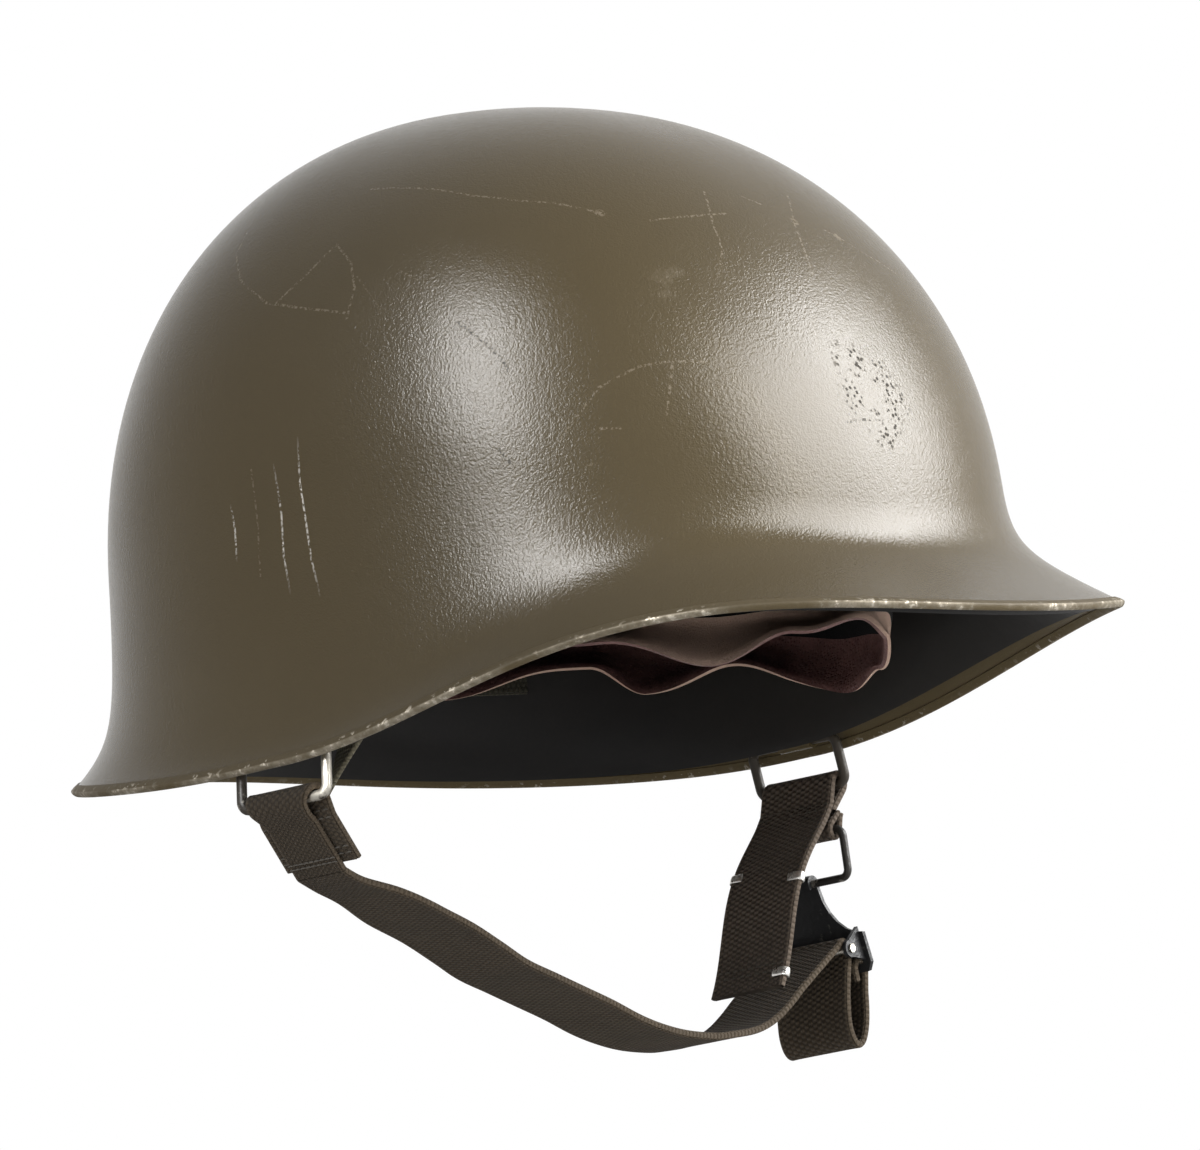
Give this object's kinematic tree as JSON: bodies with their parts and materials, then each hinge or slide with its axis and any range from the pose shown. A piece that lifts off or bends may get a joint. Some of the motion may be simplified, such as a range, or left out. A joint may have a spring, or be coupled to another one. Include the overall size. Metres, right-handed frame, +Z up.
{
  "type": "steel pot helmet",
  "caption": "Pressed steel pot helmet with a separate hard liner, webbing suspension, leather sweatband, swinging wire bails and an olive webbing chin strap with a quick-release buckle.",
  "frame": {"origin": "centre of the head opening at the level of the rim, where the wearer's head is seated", "axes": "-Y towards the visor, +X towards the wearer's left, +Z up through the crown"},
  "size_m": [0.2394, 0.2922, 0.2587],
  "materials": {
    "shell_paint": "olive enamel with fine grit, scratched, satin",
    "wire_paint": "olive enamel worn to bare wire on the bends",
    "bright_steel": "bare wire and sheet, dulled",
    "black_steel": "black enamel, semi-gloss",
    "strap_web": "olive cotton webbing, close ribbed weave",
    "liner_web": "grey-green cotton webbing",
    "liner_body": "dark moulded composition",
    "leather": "pinkish brown split leather, suede on the inner side"
  },
  "bodies": {
    "helmet": {"steel_shell": "shell_paint", "rim_edging": "shell_paint", "right_bail_bracket": "shell_paint", "left_bail_bracket": "shell_paint", "chin_strap": "strap_web"},
    "right_bail_body": {"right_bail": "wire_paint"},
    "left_bail_body": {"left_bail": "wire_paint"},
    "left_strap": {"cheek_flap": "strap_web", "release_tab": "strap_web", "flap_clips": "bright_steel"},
    "ring": {"release_ring": "bright_steel"},
    "buckle": {"hook_plate": "black_steel", "buckle_bar": "bright_steel"},
    "liner": {"liner_shell": "liner_body", "liner_rivets": "wire_paint", "a_washers": "wire_paint", "front_crown_strap": "liner_web", "middle_crown_strap": "liner_web", "rear_crown_strap": "liner_web", "suspension_band": "liner_web", "sweatband": "leather", "sweatband_clips": "bright_steel", "nape_strap": "liner_web", "side_strap": "strap_web", "side_strap_stud": "wire_paint"}
  },
  "joints": [
    {"name": "right_bail_swing", "type": "hinge", "parent": "helmet", "child": "right_bail_body", "pos_m": [-0.11078, 0.0018, 0.0056], "axis": [0, -0.9945, 0.1045], "range_deg": [-20, 15], "deforming": ["chin_strap"]},
    {"name": "left_bail_swing", "type": "hinge", "parent": "helmet", "child": "left_bail_body", "pos_m": [0.11078, 0.0018, 0.0056], "axis": [0, 0.9945, -0.1045], "range_deg": [-20, 15], "deforming": ["chin_strap"]},
    {"name": "left_strap_swing", "type": "hinge", "parent": "left_bail_body", "child": "left_strap", "pos_m": [0.11311, 0.0018, -0.00766], "axis": [0, 0.9945, -0.1045], "range_deg": [-35, 20], "deforming": ["chin_strap"]},
    {"name": "ring_swing", "type": "hinge", "parent": "left_strap", "child": "ring", "pos_m": [0.11009, 0.0018, -0.02024], "axis": [0, 0.9945, -0.1045], "range_deg": [-35, 12], "deforming": ["chin_strap"]},
    {"name": "buckle_swing", "type": "hinge", "parent": "ring", "child": "buckle", "pos_m": [0.11009, 0.0018, -0.03391], "axis": [0, 0.9945, -0.1045], "range_deg": [-35, 10], "deforming": ["chin_strap"]},
    {"name": "liner_drop", "type": "slide", "parent": "helmet", "child": "liner", "axis": [0, 0, -1], "range_m": [0, 0.008], "deforming": ["side_strap"]}
  ]
}
